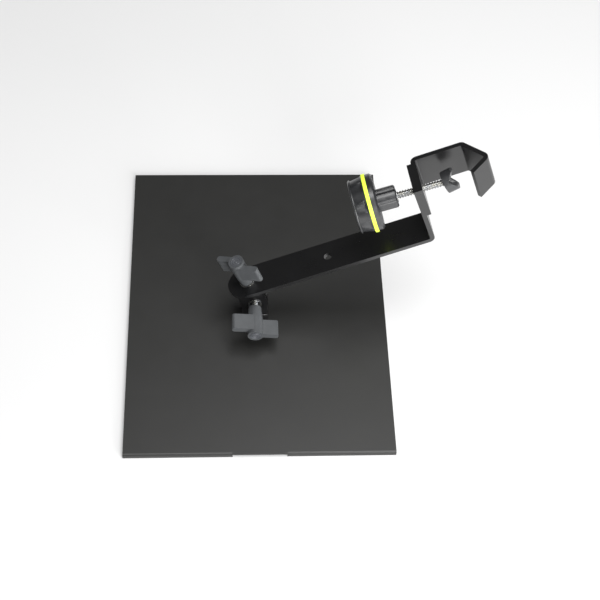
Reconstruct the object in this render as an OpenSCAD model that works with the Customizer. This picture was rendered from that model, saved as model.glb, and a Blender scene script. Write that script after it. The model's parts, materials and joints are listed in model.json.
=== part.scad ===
// Clamp-on tray for a stand tube: a flat steel tray on a tilting and turning
// flat-bar arm, held to the tube by a bent V jaw and a hand-turned clamp screw.
// Millimetres. The tray lies face down: its load face is the plane z = 0.

/* [Tray] */
// Width of the tray, left to right
tray_w = 300; // [240:5:360]
// Depth of the tray, lip edge to back edge
tray_d = 400; // [320:5:440]
// Thickness of the tray's sheet steel
tray_t = 2; // [1.5:0.5:3]
// Radius of the tray's corners
tray_corner = 3; // [1:1:12]
// How far the retaining lip stands past the load face
lip_drop = 4; // [3:1:12]
// Gap between the two lengths of lip
lip_gap = 60; // [20:5:120]
// Height of the tilt bolt above the back of the tray
axis_height = 30; // [29:1:40]

/* [Arm] */
// Tilt of the arm against the tray as drawn, degrees
tilt = 19; // [0:1:30]
// Turn of the arm about its own bolt as drawn, degrees
swing = 6.9; // [-10:0.1:30]
// Width of the arm's flat bar
arm_w = 40; // [36:1:44]
// Thickness of the arm's flat bar
arm_t = 5; // [4:0.5:6]
// Length of the arm from its bolt to the turned-up end
arm_reach = 214; // [200:1:240]
// Height of the turned-up end above the bar
end_rise = 84; // [80:1:95]
// Distance of the spare hole from the arm's bolt
spare_hole_x = 97; // [60:1:120]
// Diameter of the spare hole
spare_hole_d = 9; // [6:0.5:10]

/* [Clamp] */
// Width of the bent jaw strip
jaw_w = 43; // [36:1:46]
// Thickness of the bent jaw strip
jaw_t = 5; // [4:0.5:6]
// Pitch diameter the clamp screw is drawn at
screw_d = 8; // [7:0.5:8]
// Diameter of the pressure pad
pad_d = 25; // [22:1:26]
// Diameter of the hand knob's coloured ring
ring_d = 65; // [64:1:68]
// How far the clamp screw stands off square to the turned-up end, degrees
screw_lean = 3; // [0:0.5:3]
// Turn of the pressure pad about the screw as drawn, degrees
pad_turn = 50; // [-60:5:60]
// How far the pressure pad is drawn rocked on the screw's pin, degrees
pad_tilt = 16; // [0:1:16]

/* [Wing knobs] */
// Distance across the wings
wing_span = 54; // [46:1:55]
// Thickness of each wing
wing_t = 6.8; // [5:0.2:7]
// Turn of the tray-side wing knob as drawn, degrees
tilt_knob_turn = 5; // [-45:1:45]
// Turn of the arm-side wing knob as drawn, degrees
swing_knob_turn = -26; // [-90:1:90]

/* [Hidden] */
$fn = 96;
fine = 0.3;               // gap between faces that slide past each other
run = 0.05;               // radial clearance of a shaft that turns in a hole
lap = 0.2;                // how far a strip's flats run into its bends
skin = 0.01;              // how much thicker a strip is at its bends, each face
bolt_r = 4;               // M8 bolt
bolt_l = 42;              // bolt under its head
bolt_head_h = 5;
bolt_head_r = 7.5;        // across the corners
washer_t = 1.2;
spacer_t = 1;             // nylon spacers between the plates
ear_t = 3;                // bracket plate
bracket_w = 30;           // width of both brackets
axis_z = tray_t + axis_height;
pivot_rise = 27;          // tilt bolt to the top face of the arm
pivot_y = -7;             // the arm's bolt, front to back
hinge_x = -3.5;           // the tilt bolt's middle plane, left to right
ear_front = -20.5;        // front face of the arm bracket's ear
tray_ear_front = ear_front + ear_t + spacer_t;
tray_ear_back = tray_ear_front + ear_t;
flange_front = -39;       // front end of the tray bracket's foot
leaf_top = -arm_t - spacer_t; // top face of the arm bracket's leaf, in the arm's frame
leaf_back = 14;           // back end of the leaf behind the arm's bolt
screw_n = end_rise - 20.5; // clamp screw above the bar, at the turned-up end
jaw_x = arm_reach + arm_t;
knob_back = 146.5;        // outer end of the hand knob, along the arm
boss_end = 48;            // length of the hand knob
ring_seat_r = 31;         // inside radius of the coloured ring
ring_z = 16;              // coloured ring from the outer end of the knob
ring_h = 4;
cover_t = 2.5;            // cover on the outer end of the knob
screw_seat = 20;          // where the screw starts inside the knob
insert_r = 7;             // metal sleeve in the boss
insert_l = 10;
pad_back = 248;           // where the pressure pad bears on the screw, along the arm
pin_r = 3;                // pin at the screw's tip
pin_l = 5.6;              // pin past the pad's back
wing_boss_r = 8.7;        // round middle of a wing knob
wing_knob_l = 38;         // length of a wing knob
wing_z = 14;              // lower edge of the wings above the knob's base
wing_h = 20;              // height of the wings
cap_seat = 1;             // depth of the end cap's seat
knob_lift = 1.8;          // arm-side wing knob above the bar
knob_gap = 6.5;           // tray-side wing knob in front of the ear

// ---- frames ----------------------------------------------------------------

// Frame of the arm bracket: x along the arm, z up from the arm's top face
module bracket_frame()
    translate([hinge_x, pivot_y, axis_z]) rotate([0, -tilt, 0]) translate([0, 0, pivot_rise]) children();

// Frame of the arm, turned about the arm's bolt
module arm_frame() bracket_frame() rotate([0, 0, swing]) children();

// Frame of the clamp screw: z runs along the arm from the outer end of the knob
module screw_frame(x = knob_back)
    arm_frame() translate([jaw_x, 0, screw_n]) rotate([0, 90 + screw_lean, 0])
        translate([0, 0, x - jaw_x]) children();

// Frame of the tilt bolt: z runs forward from the arm bracket's ear
module tilt_frame(y = ear_front) translate([hinge_x, y, axis_z]) rotate([90, 0, 0]) children();

// ---- small shapes ----------------------------------------------------------

// Rectangle with round corners, centred
module round_rect(w, h, r) {
    square([w - 2 * r, h], center = true);
    square([w, h - 2 * r], center = true);
    for (sx = [-1, 1], sy = [-1, 1])
        translate([sx * (w / 2 - r), sy * (h / 2 - r)]) circle(r);
}

// Flat ring standing on z = 0
module ring(r_out, r_in, h)
    difference() {
        cylinder(r = r_out, h = h);
        translate([0, 0, -1]) cylinder(r = r_in, h = h + 2);
    }

function heading(a, b) = atan2(b[1] - a[1], b[0] - a[0]);
function turn_at(a, b, c) =
    let (d = heading(b, c) - heading(a, b)) d > 180 ? d - 360 : d < -180 ? d + 360 : d;
function setback(a, b, c, r) = r * tan(abs(turn_at(a, b, c)) / 2);

// Bend of a strip about the origin: the part of a ring from the -y side, turned by d degrees
module strip_bend(r_in, r_out, d) {
    reach = 2 * r_out;
    intersection() {
        difference() {
            circle(r_out);
            circle(r_in);
        }
        translate([0, -reach]) square([reach, 2 * reach]);
        rotate(d) translate([-reach, -reach]) square([reach, 2 * reach]);
    }
}

// The strip from point k on, drawn along +x from where the last bend ended.
// Each flat runs a lap into its bends, which are thicker by a skin on both faces
module strip_from(p, t, r, k) {
    last = k == len(p) - 2;
    s0 = k == 0 ? 0 : setback(p[k - 1], p[k], p[k + 1], r);
    s1 = last ? 0 : setback(p[k], p[k + 1], p[k + 2], r);
    flat = norm(p[k + 1] - p[k]) - s0 - s1;
    lap0 = k == 0 ? 0 : lap;
    lap1 = last ? 0 : lap;
    translate([-lap0, -t / 2]) square([flat + lap0 + lap1, t]);
    if (!last) {
        d = turn_at(p[k], p[k + 1], p[k + 2]);
        side = sign(d);
        translate([flat, side * r]) {
            strip_bend(r - t / 2 - skin, r + t / 2 + skin, d);
            rotate(d) translate([0, -side * r]) strip_from(p, t, r, k + 1);
        }
    }
}

// Sheet strip of thickness t bent along centre-line points with centre-line radius r
module bent_strip(p, t, r) translate(p[0]) rotate(heading(p[0], p[1])) strip_from(p, t, r, 0);

// ---- tray ------------------------------------------------------------------

module tray_plate() {
    bend = tray_t + 0.5;
    flat_d = tray_d - bend;
    lip_l = (tray_w - lip_gap) / 2;
    color("#1b1b1d") {
        // sheet with round back corners, cut back where the lip bends down
        linear_extrude(tray_t) {
            translate([0, bend / 2 + tray_corner / 2])
                square([tray_w, flat_d - tray_corner], center = true);
            translate([0, bend / 2]) square([tray_w - 2 * tray_corner, flat_d], center = true);
            for (s = [-1, 1])
                translate([s * (tray_w / 2 - tray_corner), tray_d / 2 - tray_corner])
                    circle(tray_corner);
            translate([0, -tray_d / 2 + bend / 2 + 0.5]) square([lip_gap, bend + 1], center = true);
        }
        // two lengths of lip
        for (s = [-1, 1])
            translate([s * (lip_gap / 2 + lip_l / 2), 0, 0])
                rotate([90, 0, 90])
                    linear_extrude(lip_l, center = true)
                        bent_strip([[-tray_d / 2 + bend + 6, tray_t / 2],
                                [-tray_d / 2 + tray_t / 2, tray_t / 2],
                                [-tray_d / 2 + tray_t / 2, -lip_drop]],
                            tray_t, bend - tray_t / 2);
    }
}

// Ear outline: half width w, from the foot up to the rounded top
module tray_ear_outline(w, top, r) {
    translate([-w, -axis_height]) square([2 * w, axis_height + top - r]);
    translate([-w + r, 0]) square([2 * (w - r), top]);
    for (s = [-1, 1]) translate([s * (w - r), top - r]) circle(r);
}

module tray_bracket() {
    half = bracket_w / 2;
    bend = 4.5;
    color("#1b1b1d")
        difference() {
            translate([hinge_x, 0, 0]) {
                translate([0, tray_ear_back, axis_z]) rotate([90, 0, 0]) linear_extrude(ear_t)
                    difference() {
                        tray_ear_outline(half, 14, 7);
                        translate([-half - 1, -axis_height - 1]) square([2 * half + 2, bend + 1.01]);
                    }
                rotate([90, 0, 90]) linear_extrude(2 * half, center = true)
                    bent_strip([[flange_front, tray_t + ear_t / 2],
                            [tray_ear_back - ear_t / 2, tray_t + ear_t / 2],
                            [tray_ear_back - ear_t / 2, tray_t + bend + 1]],
                        ear_t, bend - ear_t / 2);
            }
            tilt_frame(0) cylinder(r = bolt_r + run, h = 60);
        }
}

module bracket_welds()
    color("#1b1b1d")
        for (s = [-1, 1])
            translate([hinge_x + s * bracket_w / 2, (flange_front + tray_ear_front) / 2 - 2, tray_t])
                rotate([90, 0, 0])
                    linear_extrude(14, center = true)
                        polygon([[0, 0], [s * 2.2, 0], [0, 2.2]]);

// ---- tilt joint ------------------------------------------------------------

// Hex-head bolt along z with its head below z = 0
module hex_bolt()
    union() {
        translate([0, 0, -bolt_head_h]) cylinder(r = bolt_head_r, h = bolt_head_h, $fn = 6);
        cylinder(r = bolt_r, h = bolt_l);
    }

module tilt_bolt()
    color("#9c9fa3") tilt_frame(tray_ear_back) hex_bolt();

module tilt_spacer()
    color("#2a2a2c") tilt_frame(tray_ear_front) translate([0, 0, fine / 2])
        ring(10, bolt_r + run, spacer_t - fine);

module tilt_washer()
    color("#b4b6b9") tilt_frame() translate([0, 0, fine / 2]) ring(8, bolt_r + run, washer_t);

// Moulded wing knob standing on z = 0. Its wings are set off to opposite sides of
// the axis, and its end has a seat for a cap
module wing_knob() {
    base_r = 7.4;
    inset = 0.3;
    end_r = wing_t / 2;
    difference() {
        union() {
            cylinder(r1 = base_r, r2 = wing_boss_r, h = wing_z);
            translate([0, 0, wing_z]) cylinder(r = wing_boss_r, h = wing_knob_l - wing_z);
            intersection() {
                translate([0, 0, wing_z]) linear_extrude(wing_h)
                    for (turn = [0, 180])
                        rotate(turn) translate([0, inset - wing_boss_r]) {
                            square([wing_span / 2 - end_r, wing_t]);
                            translate([wing_span / 2 - end_r, end_r]) circle(end_r);
                        }
                translate([0, 0, wing_z + wing_h / 2]) rotate([90, 0, 0])
                    linear_extrude(4 * wing_boss_r, center = true)
                        round_rect(wing_span + 2 * inset, wing_h, 1.4);
            }
        }
        translate([0, 0, -1]) cylinder(r = bolt_r + run, h = wing_knob_l - 4);
        translate([0, 0, wing_knob_l - cap_seat]) cylinder(r = 7, h = 2 * cap_seat);
    }
}

// Plain round cap that closes the end of a wing knob
module wing_knob_cap()
    translate([0, 0, wing_knob_l - cap_seat]) {
        cylinder(r = 6.95, h = 0.7);
        cylinder(r = 6, h = 1.2);
    }

module tilt_knob()
    color("#4b4d50") tilt_frame() translate([0, 0, knob_gap]) rotate([0, 0, -tilt_knob_turn]) wing_knob();

module tilt_knob_cap()
    color("#77797c") tilt_frame() translate([0, 0, knob_gap]) wing_knob_cap();

// ---- arm bracket and swivel joint ------------------------------------------

module arm_bracket() {
    half = bracket_w / 2;
    leaf_z = leaf_top - ear_t;
    ear_y = ear_front - pivot_y;
    color("#1b1b1d")
        bracket_frame()
            difference() {
                union() {
                    rotate([90, 0, 90]) linear_extrude(bracket_w, center = true)
                        bent_strip([[ear_y + ear_t / 2, -pivot_rise],
                                [ear_y + ear_t / 2, leaf_z + ear_t / 2],
                                [leaf_back, leaf_z + ear_t / 2]],
                            ear_t, 3);
                    translate([0, ear_y + ear_t, -pivot_rise]) rotate([90, 0, 0])
                        cylinder(r = half, h = ear_t);
                }
                translate([0, 0, -20]) cylinder(r = bolt_r + run, h = 30);
                translate([0, 10, -pivot_rise]) rotate([90, 0, 0]) cylinder(r = bolt_r + run, h = 60);
            }
}

module swivel_bolt()
    color("#9c9fa3") bracket_frame() translate([0, 0, leaf_top - ear_t]) hex_bolt();

module swivel_spacer()
    color("#2a2a2c") bracket_frame() translate([0, 0, leaf_top + fine / 2])
        ring(13, bolt_r + run, spacer_t - fine);

module swivel_washer()
    color("#b4b6b9") bracket_frame() translate([0, 0, fine / 2]) ring(8.5, bolt_r + run, washer_t);

module swivel_knob()
    color("#4b4d50") bracket_frame() translate([0, 0, knob_lift])
        rotate([0, 0, swing + swing_knob_turn]) wing_knob();

module swivel_knob_cap()
    color("#77797c") bracket_frame() translate([0, 0, knob_lift]) wing_knob_cap();

// ---- arm -------------------------------------------------------------------

module support_arm() {
    tail = -3;
    color("#1b1b1d")
        arm_frame()
            difference() {
                union() {
                    rotate([90, 0, 0]) linear_extrude(arm_w, center = true)
                        bent_strip([[tail, -arm_t / 2],
                                [arm_reach + arm_t / 2, -arm_t / 2],
                                [arm_reach + arm_t / 2, end_rise]],
                            arm_t, 4.5);
                    translate([tail, 0, -arm_t]) cylinder(r = arm_w / 2, h = arm_t);
                }
                translate([0, 0, -arm_t - 1]) cylinder(r = bolt_r + run, h = arm_t + 2);
                translate([spare_hole_x, 0, -arm_t - 1]) cylinder(d = spare_hole_d, h = arm_t + 2);
                translate([jaw_x, 0, screw_n]) rotate([0, 90 + screw_lean, 0])
                    cylinder(r = screw_d / 2 + run, h = 4 * arm_t, center = true);
            }
}

module hook_jaw()
    color("#1b1b1d")
        arm_frame() translate([jaw_x, 0, end_rise - jaw_w])
            difference() {
                linear_extrude(jaw_w)
                    bent_strip([[jaw_t / 2, -arm_w / 2],
                            [jaw_t / 2, 26],
                            [58, 26],
                            [80.5, -1.6],
                            [60.2, -16.1]],
                        jaw_t, 4.5);
                translate([0, 0, screw_n - end_rise + jaw_w]) rotate([0, 90 + screw_lean, 0])
                    cylinder(r = screw_d / 2 + run, h = 4 * jaw_t, center = true);
            }

// Weld beads along the foot of the jaw strip, on the arm's turned-up end
module jaw_welds()
    color("#1b1b1d")
        arm_frame() translate([jaw_x, 0, end_rise - jaw_w]) rotate([90, 0, 0])
            linear_extrude(30, center = true) polygon([[0, 0], [2.4, 0], [0, -2.4]]);

// ---- clamp screw and hand knob ----------------------------------------------

// Screw from inside the knob to its shoulder, then the pin the pad turns on
module clamp_screw() {
    start = knob_back + screw_seat;
    shoulder = pad_back - washer_t - fine;
    color("#8d9094")
        screw_frame(start) {
            cylinder(r = screw_d / 2, h = shoulder - start);
            cylinder(r = pin_r, h = pad_back + pin_l - start);
        }
}

// Knob core: grip with finger hollows, front disc with pockets and fluted boss
module knob_body() {
    hollow_r = 19.5;
    disc_r = 31.3;
    disc_z = 27;
    boss_r = 12.6;
    boss_edge = 1.2;
    rib_t = 2.4;
    color("#303134")
        screw_frame()
            difference() {
                union() {
                    difference() {
                        translate([0, 0, cover_t]) cylinder(r1 = 28.2, r2 = ring_seat_r, h = ring_z - cover_t);
                        for (k = [0:7])
                            rotate([0, 0, 45 * k]) translate([48, 0, 4]) cylinder(r = hollow_r, h = 10);
                    }
                    translate([0, 0, ring_z]) cylinder(r = ring_seat_r, h = ring_h);
                    translate([0, 0, ring_z + ring_h]) cylinder(r = disc_r, h = 5);
                    translate([0, 0, disc_z - 2]) cylinder(r1 = disc_r, r2 = disc_r - 2, h = 2);
                    difference() {
                        translate([0, 0, disc_z - 1]) cylinder(r = boss_r, h = boss_end - boss_edge - disc_z + 1);
                        for (k = [0:5])
                            rotate([0, 0, 60 * k]) translate([14.6, 0, disc_z]) cylinder(r = 4, h = 22);
                    }
                    translate([0, 0, boss_end - boss_edge]) cylinder(r1 = 12.2, r2 = 11.2, h = boss_edge);
                }
                // pockets in the front disc, between radial ribs
                difference() {
                    translate([0, 0, disc_z - 6]) ring(disc_r - 3, boss_r + 2.6, 10);
                    for (k = [0:3])
                        rotate([0, 0, 45 * k + 22.5]) cube([2 * disc_r, rib_t, 4 * disc_z], center = true);
                }
                translate([0, 0, screw_seat]) cylinder(r = screw_d / 2 + run, h = 30);
                translate([0, 0, boss_end - insert_l]) cylinder(r = insert_r, h = insert_l + 2);
            }
}

module knob_back_cover()
    color("#3a3b3e")
        screw_frame() {
            cylinder(r1 = 28.6, r2 = 29.6, h = 1);
            translate([0, 0, 1]) cylinder(r = 29.6, h = cover_t - 1);
        }

module knob_ring()
    color("#d9f23a")
        screw_frame() translate([0, 0, ring_z]) ring(ring_d / 2, ring_seat_r, ring_h);

module knob_insert()
    color("#a9acb0")
        screw_frame() translate([0, 0, boss_end - insert_l])
            ring(insert_r, screw_d / 2 + run, insert_l + 0.6);

// ---- pressure pad ------------------------------------------------------------

module thrust_washer()
    color("#b4b6b9")
        screw_frame(pad_back - washer_t) ring(6.5, pin_r + run, washer_t - fine);

// Round pad rocked on the screw's pin, with a V groove across its front for the tube
module pressure_pad() {
    pad_l = 12;
    rock_z = 2.5;
    groove_z = pad_l - rock_z - 6;
    rise = pad_d * tan(36);
    clip_z = 3.4;
    color("#2c2d30")
        screw_frame(pad_back)
            difference() {
                translate([0, 0, rock_z]) rotate([0, -pad_tilt, 0]) rotate([0, 0, pad_turn])
                    difference() {
                        translate([0, 0, -rock_z]) cylinder(d = pad_d, h = pad_l);
                        rotate([90, 0, 90]) linear_extrude(2 * pad_d, center = true)
                            polygon([[0, groove_z], [pad_d, groove_z + rise], [-pad_d, groove_z + rise]]);
                    }
                translate([0, 0, -10]) cylinder(r = pin_r + run, h = 40);
                translate([0, 0, -20]) cylinder(r = 7.2, h = 20);
                translate([0, 0, clip_z]) cylinder(r = 5.2, h = 20);
            }
}

module pad_clip()
    color("#8d9094")
        screw_frame(pad_back + 3.4 + fine) ring(4.6, pin_r, 1);

// ---- output ------------------------------------------------------------------

tray_plate();
tray_bracket();
bracket_welds();
tilt_bolt();
tilt_spacer();
tilt_washer();
tilt_knob();
tilt_knob_cap();
arm_bracket();
swivel_bolt();
swivel_spacer();
swivel_washer();
swivel_knob();
swivel_knob_cap();
support_arm();
hook_jaw();
jaw_welds();
clamp_screw();
knob_body();
knob_back_cover();
knob_ring();
knob_insert();
thrust_washer();
pressure_pad();
pad_clip();
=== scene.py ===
"""Clamp-on tray for a stand tube: its powder-coated steel, moulded knobs and zinc-plated screw."""

import json
import math

import bpy
from mathutils import Matrix, Vector


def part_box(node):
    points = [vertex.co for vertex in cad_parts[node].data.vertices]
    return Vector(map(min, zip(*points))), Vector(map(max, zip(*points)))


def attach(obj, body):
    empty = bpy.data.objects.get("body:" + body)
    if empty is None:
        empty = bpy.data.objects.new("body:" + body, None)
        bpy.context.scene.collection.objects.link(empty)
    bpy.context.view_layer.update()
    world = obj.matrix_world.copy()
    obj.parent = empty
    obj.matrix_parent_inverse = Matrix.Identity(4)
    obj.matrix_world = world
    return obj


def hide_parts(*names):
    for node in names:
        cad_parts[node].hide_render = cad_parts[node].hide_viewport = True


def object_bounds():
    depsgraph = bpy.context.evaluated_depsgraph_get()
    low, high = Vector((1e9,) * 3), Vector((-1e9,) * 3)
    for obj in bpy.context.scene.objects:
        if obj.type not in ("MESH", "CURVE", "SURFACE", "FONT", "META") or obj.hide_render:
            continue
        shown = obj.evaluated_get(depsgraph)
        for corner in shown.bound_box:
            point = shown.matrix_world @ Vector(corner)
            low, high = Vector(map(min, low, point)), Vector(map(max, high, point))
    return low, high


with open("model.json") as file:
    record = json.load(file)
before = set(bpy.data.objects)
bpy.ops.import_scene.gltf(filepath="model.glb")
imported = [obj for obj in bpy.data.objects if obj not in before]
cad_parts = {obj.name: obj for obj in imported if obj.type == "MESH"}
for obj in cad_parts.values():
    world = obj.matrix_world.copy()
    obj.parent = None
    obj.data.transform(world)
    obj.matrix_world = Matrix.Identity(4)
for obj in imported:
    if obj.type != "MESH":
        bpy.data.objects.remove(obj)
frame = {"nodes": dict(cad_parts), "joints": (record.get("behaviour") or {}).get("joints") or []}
cad_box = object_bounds()

MM = 0.001

# ---- sizes of what is modelled here, in millimetres --------------------------

SHEET_EDGE = 0.45          # rounding that powder coat gives a cut steel edge
WING_EDGE = 0.6            # rounding of a moulded wing
KNOB_EDGE = 0.6            # rounding of the hand knob's mouldings
TURNED_EDGE = 0.15         # broken edge of washers, bolts and spacers

SCREW_RADIUS = 4.0
THREAD_PITCH = 3.0
THREAD_DEPTH = 0.85
THREAD_STEPS = 32          # straight pieces in one turn of the thread
THREAD_CREST = 0.2         # half width of the thread's crest, as a share of its pitch

PIN_RADIUS = 3.0           # plain pin that the pad turns on
PIN_LENGTH = 7.1
PIN_EDGE = 0.5
PIN_OVERLAP = 1.0          # how far the pin runs back into the screw

CAP_GROOVES = ((4.6, 0.55), (2.1, 0.5))     # radius and half width of each groove in a cap

BEAD_RADIUS = 1.3          # weld beads, and the spacing of their ripples
BEAD_RIPPLE = 1.1
BEAD_SINK = 0.3            # how far a bead's middle stands off the corner it fills
BEAD_LIFT = 0.4            # height of a bead's middle above the tray
BEAD_STEP_IN = 0.182       # how far a bead's middle stands off the hinge plate

FLOOR_SIZE = 60            # metres

# ---- places taken from the record ----------------------------------------------

JOINTS = {joint["name"]: joint for joint in frame["joints"]}
ARM_BOLT = Vector(JOINTS["arm_swing"]["pos_m"])
ARM_UP = Vector(JOINTS["arm_swing"]["axis"]).normalized()
SCREW_PLACE = Vector(JOINTS["clamp_turn"]["pos_m"])
SCREW_AXIS = Vector(JOINTS["clamp_turn"]["axis"]).normalized()
ARM_ALONG = (SCREW_AXIS - SCREW_AXIS.dot(ARM_UP) * ARM_UP).normalized()
ASKEW = ARM_UP + Vector((0.3, 0.2, 0.1))     # a direction that lies along none of the axes


def frame_at(place, axis, sideways):
    """Matrix whose z runs along axis from place, with x turned as near to sideways as it can be."""
    z = axis.normalized()
    y = z.cross(sideways).normalized()
    x = y.cross(z)
    turned = Matrix((x, y, z)).transposed().to_4x4()
    return Matrix.Translation(place) @ turned


def reach(node, place, axis):
    """How far a CAD node goes below and above place along axis."""
    along = [(v.co - place).dot(axis) for v in frame["nodes"][node].data.vertices]
    return min(along), max(along)


# ---- modelling moves -------------------------------------------------------------


def take(piece):
    """Makes piece the only selected object."""
    bpy.ops.object.select_all(action="DESELECT")
    piece.select_set(True)
    bpy.context.view_layer.objects.active = piece


def pick(piece, kind, wanted):
    """In edit mode, selects only the vertices or faces of piece that wanted accepts."""
    bpy.ops.mesh.select_mode(type=kind)
    bpy.ops.mesh.select_all(action="DESELECT")
    bpy.ops.object.mode_set(mode="OBJECT")
    parts = piece.data.vertices if kind == "VERT" else piece.data.polygons
    for part in parts:
        part.select = bool(wanted(part))
    bpy.ops.object.mode_set(mode="EDIT")


def modify(piece, kind, **settings):
    """Adds a modifier with its settings and applies it."""
    take(piece)
    modifier = piece.modifiers.new(kind.lower(), kind)
    for name, value in settings.items():
        setattr(modifier, name, value)
    bpy.ops.object.modifier_apply(modifier=modifier.name)


def put(piece, matrix):
    """Moves the mesh of piece to its place, leaving the object at the origin."""
    piece.matrix_world = matrix
    take(piece)
    bpy.ops.object.transform_apply(location=True, rotation=True, scale=True)


def finish(piece, body, slot, material, *nodes):
    """Gives piece its finish and its body, in the place of its CAD nodes."""
    piece.data.materials.clear()
    piece.data.materials.append(material)
    if nodes:
        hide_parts(*nodes)
    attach(piece, body)


def copy_of(node, name):
    """The CAD node's own shape as a new piece, with whole faces for its loose triangles."""
    piece = bpy.data.objects.new(name, frame["nodes"][node].data.copy())
    bpy.context.scene.collection.objects.link(piece)
    take(piece)
    bpy.ops.mesh.customdata_custom_splitnormals_clear()
    bpy.ops.object.mode_set(mode="EDIT")
    bpy.ops.mesh.select_all(action="SELECT")
    bpy.ops.mesh.remove_doubles(threshold=0.002 * MM)
    bpy.ops.mesh.dissolve_limited(angle_limit=math.radians(0.6))
    bpy.ops.mesh.normals_make_consistent(inside=False)
    bpy.ops.object.mode_set(mode="OBJECT")
    return piece


def round_edges(piece, radius, segments=3, sharper_than=32):
    """Rounds the edges of piece that turn by more than an angle in degrees."""
    modify(
        piece,
        "BEVEL",
        width=radius * MM,
        segments=segments,
        limit_method="ANGLE",
        angle_limit=math.radians(sharper_than),
        use_clamp_overlap=True,
        harden_normals=True,
    )
    take(piece)
    bpy.ops.object.shade_smooth_by_angle(angle=math.radians(sharper_than))
    modify(piece, "WEIGHTED_NORMAL", keep_sharp=True)


def joined(name, *parts):
    """One piece from several."""
    bpy.ops.object.select_all(action="DESELECT")
    for part in parts:
        part.select_set(True)
    bpy.context.view_layer.objects.active = parts[0]
    bpy.ops.object.join()
    piece = bpy.context.view_layer.objects.active
    piece.name = name
    return piece


# ---- materials -------------------------------------------------------------------

PATTERN_LOW = 0.3          # share of a cloudy pattern's range that is put to use
PATTERN_HIGH = 0.7
MIX_FACTOR = 0             # sockets of a node that mixes two colours
MIX_FIRST = 6
MIX_SECOND = 7
MIX_COLOUR = 2


def linear(hex_colour):
    """Linear colour from an sRGB hex value."""
    channels = [int(hex_colour[i : i + 2], 16) / 255 for i in (1, 3, 5)]
    lin = [c / 12.92 if c <= 0.04045 else ((c + 0.055) / 1.055) ** 2.4 for c in channels]
    return (*lin, 1)


def per(size):
    """Texture scale for a pattern whose features are size millimetres apart."""
    return 1 / (size * MM)


def add(tree, kind, settings=None, inputs=None):
    """Adds a node with its settings, and fills or links its inputs by name or number."""
    node = tree.nodes.new(kind)
    for name, value in (settings or {}).items():
        setattr(node, name, value)
    for name, value in (inputs or {}).items():
        if isinstance(value, bpy.types.NodeSocket):
            tree.links.new(value, node.inputs[name])
        else:
            node.inputs[name].default_value = value
    return node


def new_finish(name, **sockets):
    """A material with its shader's constant sockets set. Gives it with its tree and shader."""
    material = bpy.data.materials.new(name)
    material.use_nodes = True
    tree = material.node_tree
    shader = tree.nodes["Principled BSDF"]
    for socket, value in sockets.items():
        shader.inputs[socket.replace("_", " ")].default_value = value
    return material, tree, shader


def powder_coat(name, dark, light, smooth, rough, shine=0.5):
    """Satin black powder coat, sprayed on steel and baked.

    The eye gets soft orange peel, and patches a little glossier than the rest.
    """
    material, tree, shader = new_finish(name, IOR=1.5, Specular_IOR_Level=shine)
    place = add(tree, "ShaderNodeTexCoord").outputs["Object"]
    cloud = add(
        tree,
        "ShaderNodeTexNoise",
        inputs={"Vector": place, "Scale": per(45), "Detail": 3.0},
    )
    depth = add(
        tree,
        "ShaderNodeMapRange",
        inputs={"Value": cloud.outputs["Fac"], "From Min": PATTERN_LOW, "From Max": PATTERN_HIGH},
    )
    colour = add(
        tree,
        "ShaderNodeMix",
        {"data_type": "RGBA"},
        {MIX_FACTOR: depth.outputs["Result"], MIX_FIRST: linear(dark), MIX_SECOND: linear(light)},
    )
    tree.links.new(colour.outputs[MIX_COLOUR], shader.inputs["Base Color"])
    handled = add(
        tree,
        "ShaderNodeTexNoise",
        inputs={"Vector": place, "Scale": per(18), "Detail": 4.0},
    )
    gloss = add(
        tree,
        "ShaderNodeMapRange",
        inputs={
            "Value": handled.outputs["Fac"],
            "From Min": PATTERN_LOW,
            "From Max": PATTERN_HIGH,
            "To Min": smooth,
            "To Max": rough,
        },
    )
    tree.links.new(gloss.outputs["Result"], shader.inputs["Roughness"])
    ripple = add(
        tree,
        "ShaderNodeTexNoise",
        inputs={"Vector": place, "Scale": per(1.6), "Detail": 2.0},
    )
    peel = add(
        tree,
        "ShaderNodeBump",
        inputs={"Strength": 0.35, "Distance": 0.03 * MM, "Height": ripple.outputs["Fac"]},
    )
    powder = add(
        tree,
        "ShaderNodeTexNoise",
        inputs={"Vector": place, "Scale": per(0.45), "Detail": 2.0},
    )
    grain = add(
        tree,
        "ShaderNodeBump",
        inputs={
            "Strength": 0.3,
            "Distance": 0.02 * MM,
            "Height": powder.outputs["Fac"],
            "Normal": peel.outputs["Normal"],
        },
    )
    tree.links.new(grain.outputs["Normal"], shader.inputs["Normal"])
    return material


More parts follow.
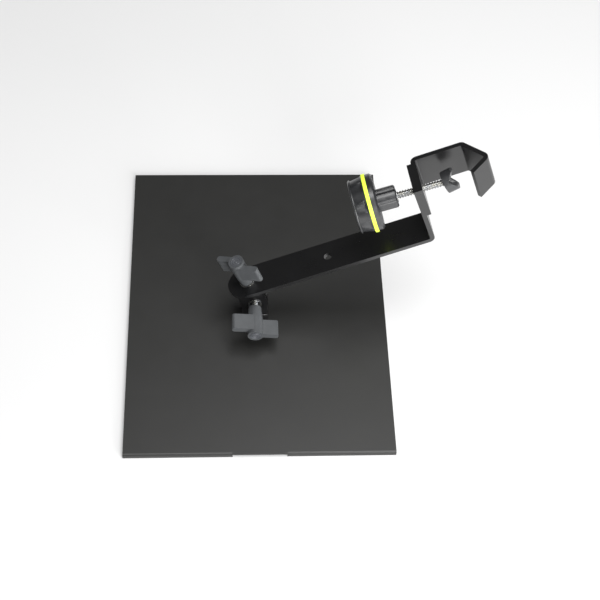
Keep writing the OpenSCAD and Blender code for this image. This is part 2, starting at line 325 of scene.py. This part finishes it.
def moulded_nylon(name, dark, light, roughness, shine=0.5):
    """Glass-filled nylon from a spark-eroded mould.

    The eye gets an even, fine, dry grain with faint flow marks.
    """
    material, tree, shader = new_finish(name, IOR=1.53, Specular_IOR_Level=shine)
    place = add(tree, "ShaderNodeTexCoord").outputs["Object"]
    flow = add(
        tree,
        "ShaderNodeTexNoise",
        inputs={"Vector": place, "Scale": per(14), "Detail": 2.0},
    )
    streak = add(
        tree,
        "ShaderNodeMapRange",
        inputs={"Value": flow.outputs["Fac"], "From Min": PATTERN_LOW, "From Max": PATTERN_HIGH},
    )
    colour = add(
        tree,
        "ShaderNodeMix",
        {"data_type": "RGBA"},
        {MIX_FACTOR: streak.outputs["Result"], MIX_FIRST: linear(dark), MIX_SECOND: linear(light)},
    )
    tree.links.new(colour.outputs[MIX_COLOUR], shader.inputs["Base Color"])
    worn = add(
        tree,
        "ShaderNodeTexNoise",
        inputs={"Vector": place, "Scale": per(6), "Detail": 3.0},
    )
    gloss = add(
        tree,
        "ShaderNodeMapRange",
        inputs={
            "Value": worn.outputs["Fac"],
            "From Min": PATTERN_LOW,
            "From Max": PATTERN_HIGH,
            "To Min": roughness - 0.06,
            "To Max": roughness + 0.06,
        },
    )
    tree.links.new(gloss.outputs["Result"], shader.inputs["Roughness"])
    spark = add(
        tree,
        "ShaderNodeTexNoise",
        inputs={"Vector": place, "Scale": per(0.4), "Detail": 2.0},
    )
    grain = add(
        tree,
        "ShaderNodeBump",
        inputs={"Strength": 0.4, "Distance": 0.03 * MM, "Height": spark.outputs["Fac"]},
    )
    tree.links.new(grain.outputs["Normal"], shader.inputs["Normal"])
    return material


def neon_rubber(name):
    """Soft moulded rubber with a fluorescent yellow pigment, and a painted glow.

    Its emission is painted light: it gives back more light than the lamps put on it, so to the eye it
    looks lit.
    """
    # the emission is a painted glow, so the ring looks lit though it is no lamp
    material, tree, shader = new_finish(name, Roughness=0.55, IOR=1.5, Emission_Strength=0.35)
    place = add(tree, "ShaderNodeTexCoord").outputs["Object"]
    cloud = add(
        tree,
        "ShaderNodeTexNoise",
        inputs={"Vector": place, "Scale": per(9), "Detail": 2.0},
    )
    pigment = add(
        tree,
        "ShaderNodeMapRange",
        inputs={"Value": cloud.outputs["Fac"], "From Min": PATTERN_LOW, "From Max": PATTERN_HIGH},
    )
    tint = add(
        tree,
        "ShaderNodeMix",
        {"data_type": "RGBA"},
        {
            MIX_FACTOR: pigment.outputs["Result"],
            MIX_FIRST: linear("#D6F53A"),
            MIX_SECOND: linear("#E2FF52"),
        },
    )
    tree.links.new(tint.outputs[MIX_COLOUR], shader.inputs["Base Color"])
    # the same tint drives the emission, which is the ring's painted glow
    tree.links.new(tint.outputs[MIX_COLOUR], shader.inputs["Emission Color"])
    skin = add(
        tree,
        "ShaderNodeTexNoise",
        inputs={"Vector": place, "Scale": per(0.5), "Detail": 2.0},
    )
    grain = add(
        tree,
        "ShaderNodeBump",
        inputs={"Strength": 0.3, "Distance": 0.03 * MM, "Height": skin.outputs["Fac"]},
    )
    tree.links.new(grain.outputs["Normal"], shader.inputs["Normal"])
    return material


def zinc_plate(name):
    """Zinc plating on turned steel.

    The eye gets a cool grey metal with faint yellowish patches and fine turning marks.
    """
    material, tree, shader = new_finish(name, Metallic=1.0)
    place = add(tree, "ShaderNodeTexCoord").outputs["Object"]
    cloud = add(
        tree,
        "ShaderNodeTexNoise",
        inputs={"Vector": place, "Scale": per(5), "Detail": 3.0},
    )
    patches = add(
        tree,
        "ShaderNodeMapRange",
        inputs={"Value": cloud.outputs["Fac"], "From Min": PATTERN_LOW, "From Max": PATTERN_HIGH},
    )
    colour = add(
        tree,
        "ShaderNodeMix",
        {"data_type": "RGBA"},
        {
            MIX_FACTOR: patches.outputs["Result"],
            MIX_FIRST: linear("#94979C"),
            MIX_SECOND: linear("#A5A39B"),
        },
    )
    tree.links.new(colour.outputs[MIX_COLOUR], shader.inputs["Base Color"])
    wear = add(
        tree,
        "ShaderNodeTexNoise",
        inputs={"Vector": place, "Scale": per(2.5), "Detail": 2.0},
    )
    gloss = add(
        tree,
        "ShaderNodeMapRange",
        inputs={
            "Value": wear.outputs["Fac"],
            "From Min": PATTERN_LOW,
            "From Max": PATTERN_HIGH,
            "To Min": 0.22,
            "To Max": 0.4,
        },
    )
    tree.links.new(gloss.outputs["Result"], shader.inputs["Roughness"])
    turning = add(
        tree,
        "ShaderNodeTexNoise",
        inputs={"Vector": place, "Scale": per(0.3), "Detail": 2.0},
    )
    marks = add(
        tree,
        "ShaderNodeBump",
        inputs={"Strength": 0.2, "Distance": 0.02 * MM, "Height": turning.outputs["Fac"]},
    )
    tree.links.new(marks.outputs["Normal"], shader.inputs["Normal"])
    return material


def white_acrylic(name):
    """Matt white acrylic sheet, faintly lit from below, so it stays white round the tray."""
    material = new_finish(
        name,
        Base_Color=linear("#C0C0C0"),
        Roughness=0.9,
        Emission_Color=linear("#FFFFFF"),
        Emission_Strength=0.25,
    )[0]
    return material


TRAY_COAT = powder_coat("satin_black_tray_coat", "#232322", "#252524", 0.39, 0.42)
ARM_COAT = powder_coat("satin_black_arm_coat", "#070708", "#09090A", 0.27, 0.31, shine=1.0)
WING_NYLON = moulded_nylon("grey_moulded_nylon", "#47494B", "#4D4F51", 0.4)
CAP_NYLON = moulded_nylon("polished_grey_cap", "#4A4C50", "#505256", 0.3)
KNOB_NYLON = moulded_nylon("black_moulded_nylon", "#1D1E20", "#222325", 0.33, shine=1.0)
PAD_NYLON = moulded_nylon("black_pad_nylon", "#222325", "#27282A", 0.36, shine=1.0)
SPACER_NYLON = moulded_nylon("black_spacer_nylon", "#151516", "#1A1A1B", 0.5)
RING_RUBBER = neon_rubber("fluorescent_yellow_rubber_painted_glow")
ZINC = zinc_plate("bright_zinc_plate")
WHITE_TABLE = white_acrylic("lit_white_acrylic")

# ---- the pieces that keep the CAD shape, with their edges rounded --------------------


def make_softened(node, name, body, slot, material, edge):
    """The CAD node with rounded edges."""
    piece = copy_of(node, name)
    round_edges(piece, edge)
    finish(piece, body, slot, material, node)


def make_sheet_metal():
    """Tray, hinge plates, arm bar and jaw strip."""
    make_softened("tray_plate", "tray_sheet", "tray", "tray_coat", TRAY_COAT, SHEET_EDGE)
    make_softened("tray_bracket", "tray_hinge_plate", "tray", "arm_coat", ARM_COAT, SHEET_EDGE)
    make_softened("arm_bracket", "arm_hinge_plate", "bracket", "arm_coat", ARM_COAT, SHEET_EDGE)
    make_softened("support_arm", "arm_bar", "arm", "arm_coat", ARM_COAT, SHEET_EDGE)
    make_softened("hook_jaw", "jaw_strip", "arm", "arm_coat", ARM_COAT, SHEET_EDGE)


def make_cap(side, body, place, axis):
    """Wing knob's end cap, with two round grooves turned into its face."""
    node = f"{side}_knob_cap"
    piece = copy_of(node, f"{side}_wing_cap")
    top = reach(node, place, axis)[1]
    centre = sum((v.co for v in piece.data.vertices), Vector()) / len(piece.data.vertices)
    face = centre + (top - (centre - place).dot(axis)) * axis
    for radius, width in CAP_GROOVES:
        bpy.ops.object.select_all(action="DESELECT")
        bpy.ops.mesh.primitive_torus_add(
            major_radius=radius * MM, minor_radius=width * MM, major_segments=64, minor_segments=12)
        cutter = bpy.context.object
        put(cutter, frame_at(face, axis, ASKEW))
        modify(piece, "BOOLEAN", operation="DIFFERENCE", solver="EXACT", object=cutter)
        bpy.data.objects.remove(cutter)
    round_edges(piece, TURNED_EDGE)
    finish(piece, body, "cap_plastic", CAP_NYLON, node)


def make_mouldings():
    """Wing knobs, hand knob and pressure pad."""
    for side, body in (("tilt", "tilt_wing"), ("swivel", "swivel_wing")):
        make_softened(f"{side}_knob", f"{side}_wing_moulding", body, "wing_plastic", WING_NYLON, WING_EDGE)
        joint = JOINTS[f"{side}_knob_turn"]
        make_cap(side, body, Vector(joint["pos_m"]), Vector(joint["axis"]).normalized())
    make_softened("knob_body", "hand_knob_moulding", "screw", "knob_plastic", KNOB_NYLON, KNOB_EDGE)
    make_softened("knob_back_cover", "hand_knob_cover", "screw", "knob_plastic", KNOB_NYLON, KNOB_EDGE)
    make_softened("knob_ring", "hand_knob_ring", "screw", "ring_rubber", RING_RUBBER, KNOB_EDGE)
    make_softened("pressure_pad", "pad_moulding", "pad", "pad_plastic", PAD_NYLON, KNOB_EDGE)


def make_small_turned_parts():
    """Washers, spacers, bolts and the metal insert of the hand knob."""
    make_softened("tilt_bolt", "tilt_bolt_steel", "tray", "zinc", ZINC, TURNED_EDGE)
    make_softened("tilt_washer", "tilt_washer_steel", "tray", "zinc", ZINC, TURNED_EDGE)
    make_softened("tilt_spacer", "tilt_spacer_ring", "tray", "spacer_nylon", SPACER_NYLON, TURNED_EDGE)
    make_softened("swivel_bolt", "swivel_bolt_steel", "bracket", "zinc", ZINC, TURNED_EDGE)
    make_softened("swivel_washer", "swivel_washer_steel", "bracket", "zinc", ZINC, TURNED_EDGE)
    make_softened(
        "swivel_spacer", "swivel_spacer_ring", "bracket", "spacer_nylon", SPACER_NYLON, TURNED_EDGE)
    make_softened("knob_insert", "hand_knob_insert", "screw", "zinc", ZINC, TURNED_EDGE)
    make_softened("thrust_washer", "thrust_washer_steel", "carrier", "zinc", ZINC, TURNED_EDGE)
    make_softened("pad_clip", "pad_clip_steel", "screw", "zinc", ZINC, TURNED_EDGE)


# ---- clamp screw ---------------------------------------------------------------------


def make_thread(low, high):
    """Threaded rod along z, cut off square at both heights."""
    crest = SCREW_RADIUS * MM
    root = crest - THREAD_DEPTH * MM
    pitch = THREAD_PITCH * MM
    turns = math.ceil((high - low) / pitch) + 2
    bpy.ops.object.select_all(action="DESELECT")
    bpy.ops.mesh.primitive_plane_add(size=pitch, rotation=(math.pi / 2, 0, 0))
    screw = bpy.context.object
    bpy.ops.object.transform_apply(location=True, rotation=True, scale=True)
    bpy.ops.object.mode_set(mode="EDIT")
    pick(screw, "VERT", lambda v: v.co.x < 0)
    bpy.ops.mesh.delete(type="VERT")
    bpy.ops.mesh.select_all(action="SELECT")
    bpy.ops.mesh.subdivide(number_cuts=4)
    bpy.ops.transform.translate(value=(root - pitch / 2, 0, 0))
    pick(screw, "VERT", lambda v: abs(v.co.z) < THREAD_CREST * pitch)
    bpy.ops.transform.translate(value=(crest - root, 0, 0))
    bpy.ops.object.mode_set(mode="OBJECT")
    modify(
        screw,
        "SCREW",
        axis="Z",
        angle=2 * math.pi,
        screw_offset=pitch,
        iterations=turns,
        steps=THREAD_STEPS,
        render_steps=THREAD_STEPS,
        use_merge_vertices=True,
        merge_threshold=0.001 * MM,
    )
    put(screw, Matrix.Translation((0, 0, low - pitch)))
    bpy.ops.object.mode_set(mode="EDIT")
    for height, above in ((low, False), (high, True)):
        bpy.ops.mesh.select_all(action="SELECT")
        bpy.ops.mesh.bisect(
            plane_co=(0, 0, height),
            plane_no=(0, 0, 1),
            use_fill=True,
            clear_inner=not above,
            clear_outer=above,
        )
    bpy.ops.mesh.select_all(action="SELECT")
    bpy.ops.mesh.normals_make_consistent(inside=False)
    bpy.ops.object.mode_set(mode="OBJECT")
    return screw


def make_pin(high):
    """Plain pin along z that ends at a height."""
    depth = (PIN_LENGTH + PIN_OVERLAP) * MM
    bpy.ops.object.select_all(action="DESELECT")
    bpy.ops.mesh.primitive_cylinder_add(
        vertices=48,
        radius=PIN_RADIUS * MM,
        depth=depth,
        location=(0, 0, high - depth / 2),
    )
    pin = bpy.context.object
    bpy.ops.object.transform_apply(location=True, rotation=True, scale=True)
    round_edges(pin, PIN_EDGE)
    return pin


def make_spindle():
    """Clamp screw with its thread, and the plain pin that the pad turns on."""
    low, high = reach("clamp_screw", SCREW_PLACE, SCREW_AXIS)
    screw = make_thread(low, high - PIN_LENGTH * MM)
    pin = make_pin(high)
    take(screw)
    bpy.ops.object.shade_smooth_by_angle(angle=math.radians(25))
    spindle = joined("clamp_spindle", screw, pin)
    put(spindle, frame_at(SCREW_PLACE, SCREW_AXIS, ARM_UP))
    finish(spindle, "screw", "zinc", ZINC, "clamp_screw")


# ---- weld beads ---------------------------------------------------------------------------


def make_bead(name, start, end, body, node):
    """Row of overlapping weld ripples from start to end, in the place of a CAD node."""
    length = (end - start).length
    count = max(2, round(length / (BEAD_RIPPLE * MM)))
    bpy.ops.object.select_all(action="DESELECT")
    bpy.ops.mesh.primitive_uv_sphere_add(segments=16, ring_count=8, radius=BEAD_RADIUS * MM)
    bead = bpy.context.object
    bead.name = name
    bead.scale = (1, 1, 0.8)
    bpy.ops.object.transform_apply(location=True, rotation=True, scale=True)
    modify(
        bead,
        "ARRAY",
        count=count,
        use_relative_offset=False,
        use_constant_offset=True,
        constant_offset_displace=(0, 0, length / (count - 1)),
    )
    take(bead)
    bpy.ops.object.shade_smooth_by_angle(angle=math.radians(40))
    put(bead, frame_at(start, end - start, ASKEW))
    finish(bead, body, "arm_coat", ARM_COAT, node)


def make_hinge_plate_beads():
    """Beads on both sides of the tray's hinge plate."""
    low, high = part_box("bracket_welds")
    plate_low, plate_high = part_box("tray_bracket")
    front = low.y + BEAD_RADIUS * MM
    back = high.y - BEAD_RADIUS * MM
    height = low.z + BEAD_LIFT * MM
    left = plate_low.x - BEAD_STEP_IN * MM
    right = plate_high.x + BEAD_STEP_IN * MM
    for side, x in (("left", left), ("right", right)):
        start = Vector((x, front, height))
        end = Vector((x, back, height))
        make_bead(f"hinge_plate_bead_{side}", start, end, "tray", "bracket_welds")


def make_jaw_strip_bead():
    """Bead along the foot of the jaw strip, on the arm's turned-up end."""
    across = ARM_UP.cross(ARM_ALONG)
    below, above = reach("jaw_welds", ARM_BOLT, across)
    near = reach("jaw_welds", ARM_BOLT, ARM_ALONG)[0]
    top = reach("jaw_welds", ARM_BOLT, ARM_UP)[1]
    corner = ARM_BOLT + (near + BEAD_SINK * MM) * ARM_ALONG + (top - BEAD_SINK * MM) * ARM_UP
    start = corner + (below + BEAD_RADIUS * MM) * across
    end = corner + (above - BEAD_RADIUS * MM) * across
    make_bead("jaw_strip_bead", start, end, "arm", "jaw_welds")


make_sheet_metal()
make_mouldings()
make_small_turned_parts()
make_spindle()
make_hinge_plate_beads()
make_jaw_strip_bead()

# ---- floor, lights and camera ---------------------------------------------------------------

# each softbox: name, place, what it faces, size in metres and watts
SOFTBOXES = (
    ("overhead_softbox", (0.4, -0.2, 2.1), (0.1, 0, 0), 1.7, 52),
    ("key_softbox", (0.7, -1.7, 1.2), (0.1, 0, 0.05), 0.7, 24),
    ("low_softbox", (1.2, -1.5, 0.35), (0.1, 0, 0.05), 1.1, 52),
)
ROOM_LIGHT = 0.08

CAMERA_PLACE = Vector((-0.0284, -0.9125, 1.3013))
CAMERA_LOOK = Vector((0.04959, 0.57645, -0.81563))
CAMERA_UP = Vector((0.00661, 0.81643, 0.57741))
SENSOR_WIDTH = 36          # millimetres, as the lens is
LENS_LENGTH = 80.8


def make_floor():
    """White table under the tray's lowest edge, which gives a little light of its own."""
    bpy.ops.object.select_all(action="DESELECT")
    bpy.ops.mesh.primitive_plane_add(size=FLOOR_SIZE, location=(0, 0, cad_box[0][2]))
    floor = bpy.context.object
    floor.name = "floor"
    floor.data.materials.append(WHITE_TABLE)


def add_softbox(name, place, target, size, watts):
    """Square soft light at place that faces target."""
    light = bpy.data.lights.new(name, "AREA")
    light.shape = "SQUARE"
    light.size = size
    light.energy = watts
    lamp = bpy.data.objects.new(name, light)
    bpy.context.scene.collection.objects.link(lamp)
    lamp.location = place
    lamp.rotation_euler = (Vector(target) - Vector(place)).to_track_quat("-Z", "Y").to_euler()


def make_studio():
    """Softboxes above, beside the camera and low in front, and a dim grey room."""
    for softbox in SOFTBOXES:
        add_softbox(*softbox)
    world = bpy.data.worlds.new("grey_room")
    world.use_nodes = True
    background = world.node_tree.nodes["Background"]
    background.inputs["Color"].default_value = (1, 1, 1, 1)
    background.inputs["Strength"].default_value = ROOM_LIGHT
    bpy.context.scene.world = world


def make_camera():
    """Long-lens camera in front of the tray, looking down on it."""
    look = CAMERA_LOOK.normalized()
    right = look.cross(CAMERA_UP).normalized()
    lens = bpy.data.cameras.new("camera")
    lens.sensor_width = SENSOR_WIDTH
    lens.lens = LENS_LENGTH
    camera = bpy.data.objects.new("camera", lens)
    bpy.context.scene.collection.objects.link(camera)
    camera.matrix_world = frame_at(CAMERA_PLACE, -look, right)
    bpy.context.scene.camera = camera


make_floor()
make_studio()
make_camera()
bpy.context.scene.view_settings.view_transform = "Standard"
